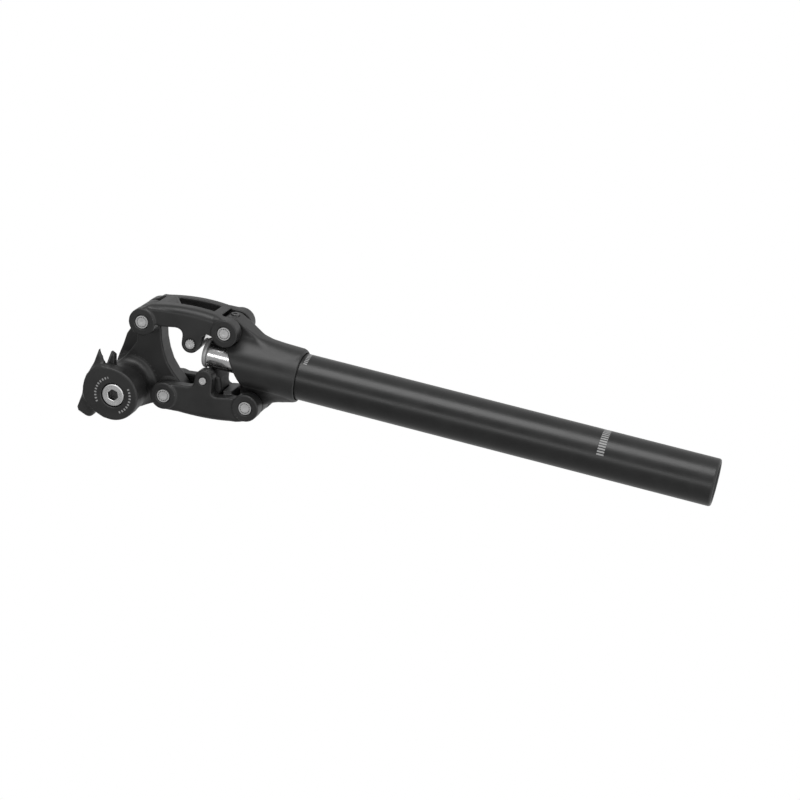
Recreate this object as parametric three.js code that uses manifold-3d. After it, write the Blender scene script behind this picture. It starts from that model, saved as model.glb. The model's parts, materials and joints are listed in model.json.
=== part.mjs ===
// Parallelogram suspension seatpost, 27.2 mm x 350 mm, as an assembly of separate pieces.
// Millimetres. +Z runs up the post tube towards the saddle, +X points forward, +Y left.
// The origin is on the tube's axis, in the plane of its lower end.

import * as THREE from "three";
import { mergeVertices } from "three/addons/utils/BufferGeometryUtils.js";
import Module from "manifold-3d";

const wasm = await Module();
wasm.setup();

// ---------------------------------------------------------------- driving dimensions

const GAP = 0.3;                              // running or assembly gap between neighbours

const TUBE = { radius: 13.6, bore: 11.4, top: 261.7, edge: 0.6 };
const COLLAR = { radius: 15.2, bottom: 243.5, edge: 0.8 };

// Pivot axes, as [x, z]. The four main ones form an exact parallelogram.
const FRONT_LOWER = [18.8, 288.6];
const REAR_LOWER = [-21.9, 269.6];
const LINK = [-5.25, 49.85];                  // from a lower pivot to the upper one
const FRONT_UPPER = [FRONT_LOWER[0] + LINK[0], FRONT_LOWER[1] + LINK[1]];
const REAR_UPPER = [REAR_LOWER[0] + LINK[0], REAR_LOWER[1] + LINK[1]];
const ROLLER_AXIS = [7.4, 308.0];
const BUMPER_AXIS = [-12.6, 297.4];

const LINK_HALF = 16.4;                       // half the width over the link bosses
const PLATE_HALF = 15.4;                      // half the width over the link side plates
const EAR_HALF = 7.8;                         // half the width over the ears' thrust collars
const EAR_PLATE = 6.5;                        // half the thickness of the ears themselves
const THRUST_RADIUS = 6.0;                    // thrust collars on the ears
const BOSS_RADIUS = 8.0;
const PLATE_ROUND = 7.5;                      // end radius of the flat plates inside the bosses
const EAR_RADIUS = 7.7;
const AXLE_RADIUS = 3.9;
const BUSH = { inner: AXLE_RADIUS + GAP, outer: 5.0, start: 8.5, end: 14.8 };

const PISTON = { radius: 8.2, bore: 5.0, bottom: 243.7, top: 299.8, flange: 10.6, flangeHeight: 4 };
const CAP = { radius: 8.8, top: 302.5, thickness: 2.4, stem: 4.6, stemLength: 9 };
const GUIDE = { outer: 10.7, bottom: 248, top: 270.4 };
const SEAL = { outer: 10.7, bottom: 270.8, top: 274.2 };
const CAVITY = { radius: 10.4, floor: 274.5 };
const RIM = { height: 282.0, slope: 0.55 };   // slanted mouth of the yoke, z = height + slope x

const SPRING = { radius: 8.8, wire: 1.6, bottom: 29.9, top: 239.2, coils: 18 };
const TOP_SEAT = { bottom: 239.4, top: 243.4 };
const BOTTOM_SEAT = { bottom: 24.0, top: 29.7 };
const SEAT_RADIUS = 10.8;
const SPIGOT = { radius: 5.6, length: 4.5 };
const CORE = { radius: 5.0, top: 212 };
const PLUG = { radius: 11.1, bottom: 7, top: 23.7, hex: 6, socket: 9 };

const ROLLER = { radius: 5.2, bore: 4.1, half: 7.7 };
const ROLLER_PIN_RADIUS = 2.95;
const BUMPER_PIN_RADIUS = 2.15;
const GRUB = { radius: 2.4, length: 4.2, hex: 2.5 };

const BOLT_AXIS = [-29.3, 345.0];
const CRADLE_TILT = 13;                       // degrees, rails level on a 73-77 degree seat tube
const BARREL = { radius: 13.6, half: 13.2 };
const CRADLE = { radius: 14.6, start: 13.5, end: 21.7 };
const CLAMP = { radius: 15.2, start: 22.3, end: 30.0 };
const RAIL = { radius: 3.6, y: 22.0, height: 15.0 };
const WING = { bottom: 7.4, top: 18.5, end: 27.2 };
const LIP = { start: 17.2, top: 13.2 };
const BOLT = { radius: 3.9, head: 6.7, headStart: 25.0, headEnd: 29.6, hex: 6, tip: 29.4 };
const WASHER = { start: 23.7, end: 24.7 };
const NUT = { acrossFlats: 13, start: 24.4, end: 29.4 };

// ---------------------------------------------------------------- colours

const paint = (color, roughness, metalness) =>
  new THREE.MeshStandardMaterial({ color, roughness, metalness });
const MATTE_BLACK = paint(0x2a2a2b, 0.5, 0.3);
const ANODISED = paint(0x303031, 0.45, 0.6);
const POLISHED = paint(0xd9dadb, 0.12, 1.0);
const STEEL = paint(0xb4b5b6, 0.35, 1.0);
const RUBBER = paint(0x151515, 0.75, 0.0);
const BUSH_GREY = paint(0x6b6a66, 0.6, 0.0);
const CORE_YELLOW = paint(0xb79f45, 0.7, 0.0);

// ---------------------------------------------------------------- solids and booleans

function solid(geometry) {
  const bare = geometry.clone();
  bare.deleteAttribute("normal");
  bare.deleteAttribute("uv");
  const merged = mergeVertices(bare, 1e-4);
  const source = merged.index.array;
  const triangles = [];
  for (let i = 0; i < source.length; i += 3) {
    const [a, b, c] = [source[i], source[i + 1], source[i + 2]];
    if (a !== b && b !== c && c !== a) triangles.push(a, b, c);
  }
  return new wasm.Manifold(new wasm.Mesh({
    numProp: 3,
    vertProperties: new Float32Array(merged.attributes.position.array),
    triVerts: new Uint32Array(triangles),
  }));
}

function geometryOf(body) {
  const mesh = body.getMesh();
  const geometry = new THREE.BufferGeometry();
  geometry.setAttribute("position", new THREE.BufferAttribute(new Float32Array(mesh.vertProperties), 3));
  geometry.setIndex(new THREE.BufferAttribute(new Uint32Array(mesh.triVerts), 1));
  geometry.computeVertexNormals();
  return geometry;
}

const join = (...bodies) => bodies.reduce((sum, body) => sum.add(body));
const cut = (body, ...tools) => tools.reduce((rest, tool) => rest.subtract(tool), body);

// A body of revolution about Z. The profile is [radius, z] points, outer side going up.
function turned(profile, segments = 32) {
  const points = profile.map(([radius, z]) => new THREE.Vector2(radius, z));
  if (profile[0][0] > 0) points.push(points[0].clone());
  return solid(new THREE.LatheGeometry(points, segments).rotateX(Math.PI / 2));
}

// The same about an axis along Y through [x, z]; the profile is [radius, y] points.
function turnedY(profile, [x, z], segments = 24) {
  const points = profile.map(([radius, y]) => new THREE.Vector2(radius, y));
  if (profile[0][0] > 0) points.push(points[0].clone());
  return solid(new THREE.LatheGeometry(points, segments).translate(x, 0, z));
}

function rodY(radius, y0, y1, centre, segments = 24) {
  return turnedY([[0, y0], [radius, y0], [radius, y1], [0, y1]], centre, segments);
}

function rodZ(radius, z0, z1, segments = 32) {
  return turned([[0, z0], [radius, z0], [radius, z1], [0, z1]], segments);
}

// A cylinder along X through [y, z].
function rodX(radius, x0, x1, [y, z], segments = 24) {
  const rod = new THREE.CylinderGeometry(radius, radius, x1 - x0, segments);
  return solid(rod.rotateZ(-Math.PI / 2).translate((x0 + x1) / 2, y, z));
}

// An outline in the XZ plane given thickness from y0 to y1.
function plate(shape, y0, y1, curveSegments = 5) {
  const flat = new THREE.ExtrudeGeometry(shape, { depth: y1 - y0, bevelEnabled: false, curveSegments });
  return solid(flat.rotateX(Math.PI / 2).translate(0, y1, 0));
}

// An outline in the YZ plane given depth from x0 to x1.
function facing(points, x0, x1) {
  const shape = new THREE.Shape(points.map(([y, z]) => new THREE.Vector2(y, z)));
  const flat = new THREE.ExtrudeGeometry(shape, { depth: x1 - x0, bevelEnabled: false });
  return solid(flat.rotateX(Math.PI / 2).rotateZ(Math.PI / 2).translate(x0, 0, 0));
}

function outline(points) {
  return new THREE.Shape(points.map(([x, z]) => new THREE.Vector2(x, z)));
}

function hexPrism(acrossFlats, length) {
  return new THREE.CylinderGeometry(acrossFlats / Math.sqrt(3), acrossFlats / Math.sqrt(3), length, 6);
}

const radians = (degrees) => (degrees * Math.PI) / 180;

// Both of a pair of side plates, mirrored about the middle plane.
const bothSides = (shape, y0, y1, curveSegments) =>
  join(plate(shape, y0, y1, curveSegments), plate(shape, -y1, -y0, curveSegments));

// Keeps only what lies inside a bevelled-edge envelope, which breaks the long outer edges.
function bevelled(body, x0, x1, z0, z1, half, bevel) {
  const section = new THREE.Shape([
    new THREE.Vector2(-half, x0), new THREE.Vector2(half, x0),
    new THREE.Vector2(half, x1 - bevel), new THREE.Vector2(half - bevel, x1),
    new THREE.Vector2(bevel - half, x1), new THREE.Vector2(-half, x1 - bevel),
  ]);
  const prism = new THREE.ExtrudeGeometry(section, { depth: z1 - z0, bevelEnabled: false });
  return body.intersect(solid(prism.rotateZ(-Math.PI / 2).translate(0, 0, z0)));
}

// ---------------------------------------------------------------- post and yoke

function postTube() {
  return turned([
    [TUBE.bore, 0], [TUBE.radius - TUBE.edge, 0], [TUBE.radius, TUBE.edge],
    [TUBE.radius, TUBE.top], [TUBE.bore, TUBE.top],
  ], 40);
}

function frontEarShape() {
  const [x, z] = FRONT_LOWER;
  const shape = new THREE.Shape();
  shape.moveTo(0, 256);
  shape.lineTo(15.0, 255);
  shape.lineTo(15.7, 263);
  shape.lineTo(17.4, 269.5);
  shape.lineTo(20.6, 275.8);
  shape.absarc(x, z, EAR_RADIUS, radians(-35), radians(160), false);
  shape.lineTo(0, 282);
  return shape;
}

function rearEarShape() {
  const [x, z] = REAR_LOWER;
  const shape = new THREE.Shape();
  shape.moveTo(0, 248);
  shape.lineTo(-14.9, 246.5);
  shape.lineTo(-17.3, 251.5);
  shape.lineTo(-18.9, 257);
  shape.absarc(x, z, EAR_RADIUS, radians(-85), radians(75), true);
  shape.lineTo(0, 277);
  return shape;
}

// Room that a link boss needs beside an ear.
function bossRelief(centre) {
  const radius = BOSS_RADIUS + 0.6;
  const inner = EAR_HALF;
  return join(rodY(radius, inner, 20, centre), rodY(radius, -20, -inner, centre));
}

const thrustCollars = (centre) => rodY(THRUST_RADIUS, -EAR_HALF, EAR_HALF, centre);

function yoke() {
  const barrel = turned([
    [0, COLLAR.bottom], [COLLAR.radius - COLLAR.edge, COLLAR.bottom],
    [COLLAR.radius, COLLAR.bottom + COLLAR.edge], [COLLAR.radius, 295], [0, 295],
  ], 40);
  const mouth = plate(outline([
    [-30, RIM.height - 30 * RIM.slope], [30, RIM.height + 30 * RIM.slope], [30, 310], [-30, 310],
  ]), -20, 20);
  const ears = join(
    plate(frontEarShape(), -EAR_PLATE, EAR_PLATE), plate(rearEarShape(), -EAR_PLATE, EAR_PLATE),
    thrustCollars(FRONT_LOWER), thrustCollars(REAR_LOWER),
  );
  const walls = cut(barrel, mouth, bossRelief(FRONT_LOWER), bossRelief(REAR_LOWER));
  const bore = turned([
    [0, COLLAR.bottom - 1], [TUBE.radius + GAP, COLLAR.bottom - 1], [TUBE.radius + GAP, TUBE.top + GAP],
    [GUIDE.outer + GAP, TUBE.top + GAP], [GUIDE.outer + GAP, CAVITY.floor],
    [CAVITY.radius, CAVITY.floor], [CAVITY.radius, 320], [0, 320],
  ], 40);
  const axleHole = AXLE_RADIUS + GAP;
  return cut(
    join(walls, ears), bore,
    rodY(axleHole, -EAR_HALF - 1, EAR_HALF + 1, FRONT_LOWER),
    rodY(axleHole, -EAR_HALF - 1, EAR_HALF + 1, REAR_LOWER),
    rodX(GRUB.radius + GAP, FRONT_LOWER[0], FRONT_LOWER[0] + 12, [0, FRONT_LOWER[1]], 16),
  );
}

const guideBush = () => turned([
  [PISTON.radius + GAP, GUIDE.bottom], [GUIDE.outer, GUIDE.bottom],
  [GUIDE.outer, GUIDE.top], [PISTON.radius + GAP, GUIDE.top],
]);

const wiperSeal = () => turned([
  [PISTON.radius + GAP, SEAL.bottom], [SEAL.outer, SEAL.bottom],
  [SEAL.outer, SEAL.top], [PISTON.radius + 1.2, SEAL.top],
]);

function grubScrew() {
  const start = FRONT_LOWER[0] + AXLE_RADIUS + GAP;
  const screw = rodX(GRUB.radius, start, start + GRUB.length, [0, FRONT_LOWER[1]], 16);
  const socket = hexPrism(GRUB.hex, 2.4).rotateZ(Math.PI / 2);
  return cut(screw, solid(socket.translate(start + GRUB.length - 0.8, 0, FRONT_LOWER[1])));
}

// ---------------------------------------------------------------- spring unit

function piston() {
  const flangeTop = PISTON.bottom + PISTON.flangeHeight;
  return turned([
    [PISTON.bore, PISTON.bottom], [PISTON.flange, PISTON.bottom], [PISTON.flange, flangeTop],
    [PISTON.radius, flangeTop], [PISTON.radius, PISTON.top], [PISTON.bore, PISTON.top],
  ]);
}

function pistonCap() {
  const under = CAP.top - CAP.thickness;
  return turned([
    [0, under - CAP.stemLength], [CAP.stem, under - CAP.stemLength], [CAP.stem, under],
    [CAP.radius - 0.3, under], [CAP.radius, under + 0.4], [CAP.radius, CAP.top - 0.8],
    [CAP.radius - 0.8, CAP.top], [0, CAP.top],
  ]);
}

const springTopSeat = () => turned([
  [0, TOP_SEAT.bottom - SPIGOT.length], [SPIGOT.radius, TOP_SEAT.bottom - SPIGOT.length],
  [SPIGOT.radius, TOP_SEAT.bottom], [PISTON.flange, TOP_SEAT.bottom],
  [PISTON.flange, TOP_SEAT.top], [0, TOP_SEAT.top],
], 24);

const springBottomSeat = () => turned([
  [0, BOTTOM_SEAT.bottom], [SEAT_RADIUS, BOTTOM_SEAT.bottom], [SEAT_RADIUS, BOTTOM_SEAT.top],
  [SPIGOT.radius, BOTTOM_SEAT.top], [SPIGOT.radius, BOTTOM_SEAT.top + SPIGOT.length],
  [0, BOTTOM_SEAT.top + SPIGOT.length],
], 24);

const elastomerCore = () => rodZ(CORE.radius, BOTTOM_SEAT.top + SPIGOT.length + GAP, CORE.top, 20);

class Helix extends THREE.Curve {
  getPoint(t, target = new THREE.Vector3()) {
    const angle = t * SPRING.coils * 2 * Math.PI;
    const bottom = SPRING.bottom + SPRING.wire;
    const rise = SPRING.top - SPRING.bottom - 2 * SPRING.wire;
    return target.set(SPRING.radius * Math.cos(angle), SPRING.radius * Math.sin(angle), bottom + rise * t);
  }
}

function mainSpring() {
  const section = new THREE.Shape();
  section.absarc(0, 0, SPRING.wire, 0, 2 * Math.PI, false);
  return new THREE.ExtrudeGeometry(section, {
    steps: SPRING.coils * 8, curveSegments: 3, bevelEnabled: false, extrudePath: new Helix(),
  });
}

function preloadPlug() {
  const body = turned([
    [0, PLUG.bottom], [PLUG.radius - 0.8, PLUG.bottom], [PLUG.radius, PLUG.bottom + 0.8],
    [PLUG.radius, PLUG.top], [0, PLUG.top],
  ]);
  const socket = hexPrism(PLUG.hex, PLUG.socket).rotateX(Math.PI / 2);
  return cut(body, solid(socket.translate(0, 0, PLUG.bottom + PLUG.socket / 2 - 1)));
}

// ---------------------------------------------------------------- links

// Lower and upper limits along Y of something between two distances on one side.
const spanY = (sign, inner, outer) => (sign > 0 ? [inner, outer] : [-outer, -inner]);

// A boss's bore: narrow at the outer face, wide where the bush sits.
function bossBore(centre) {
  return join(...[1, -1].map((sign) => join(
    rodY(BUSH.outer + GAP, ...spanY(sign, EAR_HALF - 1, BUSH.end + GAP), centre, 20),
    rodY(AXLE_RADIUS + GAP, ...spanY(sign, BUSH.end, LINK_HALF + 1), centre, 20),
  )));
}

function bossPair(centre) {
  const edge = 0.5;
  return join(...[1, -1].map((sign) => {
    const [y0, y1] = spanY(sign, EAR_HALF + GAP, LINK_HALF);
    return turnedY([
      [0, y0], [BOSS_RADIUS - edge, y0], [BOSS_RADIUS, y0 + edge],
      [BOSS_RADIUS, y1 - edge], [BOSS_RADIUS - edge, y1], [0, y1],
    ], centre, 28);
  }));
}

function frontLinkShape() {
  const [x0, z0] = FRONT_LOWER;
  const [x1, z1] = FRONT_UPPER;
  const [xr, zr] = ROLLER_AXIS;
  const shape = new THREE.Shape();
  shape.moveTo(x0, z0);
  shape.absarc(x0, z0, PLATE_ROUND, radians(-60), radians(5), false);
  shape.quadraticCurveTo(30.4, 311, 24.0, 336.5);
  shape.absarc(x1, z1, PLATE_ROUND, radians(15), radians(200), false);
  shape.lineTo(x1, z1 - PLATE_ROUND + 1);
  shape.lineTo(13.4, 326.5);
  shape.lineTo(14.9, 318.5);
  shape.quadraticCurveTo(15.2, 313.6, 11.0, 313.4);
  shape.absarc(xr, zr, 5.4, radians(85), radians(275), false);
  shape.lineTo(13.4, 301.4);
  shape.lineTo(15.6, 299.8);
  shape.lineTo(14.5, 294);
  return shape;
}

// The bridge between the front link's side plates, with the outline of its outer skin.
function frontBridgeShape() {
  return outline([
    [20.6, 297.4], [27.5, 293.6], [28.4, 303], [28.7, 312], [27.8, 321], [24.8, 334.2], [19.6, 331.8],
    [20.6, 314],
  ]);
}

function frontLink() {
  const plates = bothSides(frontLinkShape(), EAR_HALF + GAP, PLATE_HALF);
  const bridge = plate(frontBridgeShape(), -EAR_HALF - 1, EAR_HALF + 1);
  const body = bevelled(join(plates, bridge), -5, 28.1, 270, 350, PLATE_HALF, 3.2);
  const pocket = facing([[-6.4, 299.4], [6.4, 299.4], [6.4, 326], [-6.4, 319.4]], 22.6, 40);
  return cut(
    join(body, bossPair(FRONT_LOWER), bossPair(FRONT_UPPER)),
    pocket, bossBore(FRONT_LOWER), bossBore(FRONT_UPPER),
    rodY(ROLLER_PIN_RADIUS + GAP, -20, 20, ROLLER_AXIS, 20),
  );
}

function rearLinkShape() {
  const [x0, z0] = REAR_LOWER;
  const [x1, z1] = REAR_UPPER;
  const shape = new THREE.Shape();
  shape.moveTo(x0, z0);
  shape.absarc(x0, z0, PLATE_ROUND, radians(60), radians(-120), true);
  shape.lineTo(-29.6, 267.6);
  shape.lineTo(-32.2, 274.5);
  shape.quadraticCurveTo(-36.4, 292, -35.1, 316.5);
  shape.absarc(x1, z1, PLATE_ROUND, radians(190), radians(15), true);
  shape.lineTo(-18.3, 308);
  shape.quadraticCurveTo(-18.0, 302.6, -15.2, 302.6);
  shape.absarc(-11.2, 297.0, 5.4, radians(90), radians(-80), true);
  shape.lineTo(-17.6, 291.2);
  shape.quadraticCurveTo(-20.2, 291.0, -20.1, 287.6);
  shape.lineTo(-18.6, 280.5);
  return shape;
}

// The web that ties the rear link's side plates behind the bumper.
function rearWebShape() {
  return outline([
    [-24.2, 283.6], [-17.6, 286.6], [-16.6, 281.2], [-22.4, 279.4], [-31.0, 278.6], [-34.2, 290],
    [-34.8, 303], [-31.0, 304.4], [-28.6, 302.0],
  ]);
}

function rearLink() {
  const plates = bothSides(rearLinkShape(), EAR_HALF + GAP, PLATE_HALF);
  const web = plate(rearWebShape(), -EAR_HALF - 1, EAR_HALF + 1);
  return cut(
    join(plates, web, bossPair(REAR_LOWER), bossPair(REAR_UPPER)),
    bossBore(REAR_LOWER), bossBore(REAR_UPPER),
    rodY(BUMPER_PIN_RADIUS + GAP, -20, 20, BUMPER_AXIS, 16),
  );
}

const axleBush = (centre, sign) => turnedY([
  [BUSH.inner, sign > 0 ? BUSH.start : -BUSH.end], [BUSH.outer, sign > 0 ? BUSH.start : -BUSH.end],
  [BUSH.outer, sign > 0 ? BUSH.end : -BUSH.start], [BUSH.inner, sign > 0 ? BUSH.end : -BUSH.start],
], centre, 18);

function pin(radius, half, centre) {
  const edge = 0.35;
  return turnedY([
    [0, -half], [radius - edge, -half], [radius, edge - half],
    [radius, half - edge], [radius - edge, half], [0, half],
  ], centre, 20);
}

const roller = () => turnedY([
  [ROLLER.bore, -ROLLER.half], [ROLLER.radius - 0.6, -ROLLER.half], [ROLLER.radius, 0.6 - ROLLER.half],
  [ROLLER.radius, ROLLER.half - 0.6], [ROLLER.radius - 0.6, ROLLER.half], [ROLLER.bore, ROLLER.half],
], ROLLER_AXIS);

const rollerBush = () => turnedY([
  [ROLLER_PIN_RADIUS + GAP, -ROLLER.half], [ROLLER.bore - GAP, -ROLLER.half],
  [ROLLER.bore - GAP, ROLLER.half], [ROLLER_PIN_RADIUS + GAP, ROLLER.half],
], ROLLER_AXIS, 18);

function bumper() {
  const shape = new THREE.Shape();
  shape.moveTo(-18.2, 287.6);
  shape.lineTo(-11.2, 289.6);
  shape.absarc(-13.9, 297.0, 5.3, radians(-30), radians(120), false);
  shape.lineTo(-24.6, 300.4);
  shape.lineTo(-24.4, 289.6);
  return cut(
    plate(shape, 0.4 - EAR_HALF, EAR_HALF - 0.4),
    rodY(BUMPER_PIN_RADIUS + GAP, -20, 20, BUMPER_AXIS, 16),
  );
}

// ---------------------------------------------------------------- head

function headShape() {
  const [x1, z1] = FRONT_UPPER;
  const [x2, z2] = REAR_UPPER;
  const [xb, zb] = BOLT_AXIS;
  const underside = [
    [-27.5, 310.2], [-24.0, 310.2], [-22.4, 311.5], [-19.1, 314.8], [-15.2, 319.0], [-10.3, 323.1],
    [-4.3, 326.2], [2.3, 328.5], [8.0, 329.6], [12.0, 330.6],
  ];
  const shape = new THREE.Shape();
  shape.absarc(x1, z1, PLATE_ROUND - 0.4, radians(-75), radians(125), false);
  shape.lineTo(1.1, 343.8);
  shape.lineTo(-2.5, 343.6);
  shape.lineTo(-8.5, 346.9);
  shape.absarc(xb, zb, BARREL.radius - 0.5, radians(35), radians(215), false);
  shape.absarc(x2, z2, PLATE_ROUND - 0.4, radians(175), radians(240), false);
  underside.forEach(([x, z]) => shape.lineTo(x, z));
  return shape;
}

// The tall thin rib along the middle of the head, between its two side pockets.
function spineShape() {
  return outline([
    [16, 340], [13.0, 345.4], [2.5, 350.4], [-0.5, 351.9], [-7.7, 353.3], [-12.2, 354.5], [-19, 354.5],
    [-19, 340], [0, 335],
  ]);
}

function head() {
  const web = plate(headShape(), -6, 6);
  const spine = plate(spineShape(), -1.5, 1.5);
  const barrel = turnedY([
    [0, -BARREL.half], [BARREL.radius, -BARREL.half], [BARREL.radius, BARREL.half], [0, BARREL.half],
  ], BOLT_AXIS, 36);
  const bosses = [FRONT_UPPER, REAR_UPPER].map((centre) => join(
    rodY(EAR_RADIUS, -EAR_PLATE, EAR_PLATE, centre, 28), thrustCollars(centre),
  ));
  const pocketShape = outline([[-12.4, 362], [-11.4, 344.6], [-3, 338.6], [2.5, 338.6], [4.4, 362]]);
  const axleHole = AXLE_RADIUS + GAP;
  return cut(
    join(web, barrel, spine, ...bosses),
    plate(pocketShape, 1.5, 4.8), plate(pocketShape, -4.8, -1.5),
    rodY(BOLT.radius + 0.4, -20, 20, BOLT_AXIS, 20),
    rodY(axleHole, -20, 20, FRONT_UPPER, 20), rodY(axleHole, -20, 20, REAR_UPPER, 20),
  );
}

// ---------------------------------------------------------------- saddle clamp
// These are made about the clamp bolt's own axis, with the rails along X, then tilted together.

function railGroove(sign) {
  return rodX(RAIL.radius, -40, 40, [sign * RAIL.y, RAIL.height], 24);
}

// The rounded rear end that both jaws share, up to a given height.
function jawStart(half, top) {
  const shape = new THREE.Shape();
  shape.moveTo(-16.7, WING.bottom);
  shape.quadraticCurveTo(-half, WING.bottom + 0.4, -half, WING.bottom + 4.2);
  shape.lineTo(0.8 - half, top - 1.4);
  shape.lineTo(2.6 - half, top);
  return shape;
}

function wingShape() {
  const shape = jawStart(21.2, WING.top);
  shape.lineTo(20.3, WING.top);
  shape.lineTo(17.6, 14.5);
  shape.lineTo(11.9, 11.4);
  shape.lineTo(0, 0);
  return shape;
}

function lipShape() {
  const shape = jawStart(20.4, LIP.top);
  shape.lineTo(19.4, LIP.top);
  shape.lineTo(19.9, 12.6);
  shape.lineTo(19.2, 9.8);
  shape.lineTo(12.3, 7.3);
  return shape;
}

function crownShape() {
  return outline([
    [-15, 0], [15, 0], [15.0, 6], [13.4, 12.6], [10.9, 15.8], [8.0, 17.6], [5.5, 18.6], [2.8, 19.15],
    [-0.8, 19.15], [-3.6, 18.7], [-7.2, 17.4], [-10.2, 15.2], [-12.8, 11.8], [-14.6, 6.4],
  ]);
}

function innerCradle(sign) {
  const [y0, y1] = spanY(sign, CRADLE.start, CRADLE.end);
  const [j0, j1] = spanY(sign, LIP.start, CRADLE.end);
  return cut(
    join(rodY(CRADLE.radius, y0, y1, [0, 0], 32), plate(lipShape(), j0, j1, 4)),
    railGroove(sign), rodY(BOLT.radius + 0.4, -40, 40, [0, 0], 20),
  );
}

function outerClamp(sign, recess) {
  const [y0, y1] = spanY(sign, CLAMP.start, CLAMP.end);
  const [j0, j1] = spanY(sign, CLAMP.start, WING.end);
  return cut(
    join(
      rodY(CLAMP.radius, y0, y1, [0, 0], 36),
      plate(crownShape(), y0, y1),
      plate(wingShape(), j0, j1, 4),
    ),
    railGroove(sign), rodY(BOLT.radius + 0.4, -40, 40, [0, 0], 20), recess,
  );
}

const boltRecess = () => rodY(BOLT.head + 0.5, -CLAMP.end - 1, GAP - WASHER.start, [0, 0], 24);

function nutRecess() {
  const [y0, y1] = [NUT.start - GAP, CLAMP.end + 1];
  return solid(hexPrism(NUT.acrossFlats + 2 * GAP, y1 - y0).translate(0, (y0 + y1) / 2, 0));
}

function clampBolt() {
  const socketDepth = 3.4;
  const body = turnedY([
    [0, -BOLT.headEnd], [BOLT.head - 0.5, -BOLT.headEnd], [BOLT.head, 0.5 - BOLT.headEnd],
    [BOLT.head, -BOLT.headStart], [BOLT.radius, -BOLT.headStart],
    [BOLT.radius, BOLT.tip - 0.6], [BOLT.radius - 0.6, BOLT.tip], [0, BOLT.tip],
  ], [0, 0], 28);
  const socket = hexPrism(BOLT.hex, socketDepth * 2).translate(0, -BOLT.headEnd, 0);
  return cut(body, solid(socket));
}

const boltWasher = () => turnedY([
  [BOLT.radius + GAP, -WASHER.end], [BOLT.head, -WASHER.end],
  [BOLT.head, -WASHER.start], [BOLT.radius + GAP, -WASHER.start],
], [0, 0]);

function clampNut() {
  const body = hexPrism(NUT.acrossFlats, NUT.end - NUT.start).translate(0, (NUT.start + NUT.end) / 2, 0);
  return cut(solid(body), rodY(BOLT.radius + GAP, 0, 40, [0, 0], 20));
}

// ---------------------------------------------------------------- assembly

function named(name, body, material) {
  const geometry = body.isBufferGeometry ? body : geometryOf(body);
  const mesh = new THREE.Mesh(geometry, material);
  mesh.name = name;
  return mesh;
}

const group = new THREE.Group();

group.add(
  named("post_tube", postTube(), ANODISED),
  named("yoke", yoke(), MATTE_BLACK),
  named("guide_bush", guideBush(), BUSH_GREY),
  named("wiper_seal", wiperSeal(), RUBBER),
  named("axle_grub_screw", grubScrew(), STEEL),
  named("piston", piston(), POLISHED),
  named("piston_cap", pistonCap(), STEEL),
  named("spring_top_seat", springTopSeat(), BUSH_GREY),
  named("main_spring", mainSpring(), STEEL),
  named("elastomer_core", elastomerCore(), CORE_YELLOW),
  named("spring_bottom_seat", springBottomSeat(), BUSH_GREY),
  named("preload_plug", preloadPlug(), ANODISED),
  named("front_link", frontLink(), MATTE_BLACK),
  named("roller", roller(), POLISHED),
  named("roller_bush", rollerBush(), BUSH_GREY),
  named("roller_pin", pin(ROLLER_PIN_RADIUS, LINK_HALF - 0.8, ROLLER_AXIS), STEEL),
  named("rear_link", rearLink(), MATTE_BLACK),
  named("bumper", bumper(), RUBBER),
  named("bumper_pin", pin(BUMPER_PIN_RADIUS, LINK_HALF - 0.8, BUMPER_AXIS), STEEL),
  named("head", head(), MATTE_BLACK),
);

const PIVOTS = {
  front_lower: FRONT_LOWER, front_upper: FRONT_UPPER, rear_lower: REAR_LOWER, rear_upper: REAR_UPPER,
};
for (const [name, centre] of Object.entries(PIVOTS)) {
  group.add(
    named(`${name}_axle`, pin(AXLE_RADIUS, LINK_HALF - 0.2, centre), STEEL),
    named(`${name}_bush_left`, axleBush(centre, 1), BUSH_GREY),
    named(`${name}_bush_right`, axleBush(centre, -1), BUSH_GREY),
  );
}

const clamp = new THREE.Group();
clamp.position.set(BOLT_AXIS[0], 0, BOLT_AXIS[1]);
clamp.rotation.y = radians(CRADLE_TILT);
clamp.add(
  named("right_inner_cradle", innerCradle(-1), MATTE_BLACK),
  named("left_inner_cradle", innerCradle(1), MATTE_BLACK),
  named("right_outer_clamp", outerClamp(-1, boltRecess()), MATTE_BLACK),
  named("left_outer_clamp", outerClamp(1, nutRecess()), MATTE_BLACK),
  named("clamp_bolt", clampBolt(), STEEL),
  named("bolt_washer", boltWasher(), STEEL),
  named("clamp_nut", clampNut(), STEEL),
);
group.add(clamp);

export default group;
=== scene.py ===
import json
import math

import bpy
import numpy as np
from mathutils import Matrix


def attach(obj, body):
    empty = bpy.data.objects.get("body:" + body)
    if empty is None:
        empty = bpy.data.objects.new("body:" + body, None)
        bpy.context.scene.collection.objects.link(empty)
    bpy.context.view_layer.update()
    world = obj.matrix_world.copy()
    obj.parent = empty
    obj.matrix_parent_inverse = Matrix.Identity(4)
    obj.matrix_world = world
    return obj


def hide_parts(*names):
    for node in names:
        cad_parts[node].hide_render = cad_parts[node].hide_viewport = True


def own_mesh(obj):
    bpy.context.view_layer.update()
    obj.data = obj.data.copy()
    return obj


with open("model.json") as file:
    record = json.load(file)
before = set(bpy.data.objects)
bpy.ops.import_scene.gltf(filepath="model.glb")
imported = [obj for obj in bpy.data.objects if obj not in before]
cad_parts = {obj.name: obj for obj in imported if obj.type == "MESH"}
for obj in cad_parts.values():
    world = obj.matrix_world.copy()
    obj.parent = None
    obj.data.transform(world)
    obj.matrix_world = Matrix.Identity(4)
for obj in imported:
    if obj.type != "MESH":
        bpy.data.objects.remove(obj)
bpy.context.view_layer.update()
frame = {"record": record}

import openvdb as vdb
from mathutils import Matrix, Vector

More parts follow.
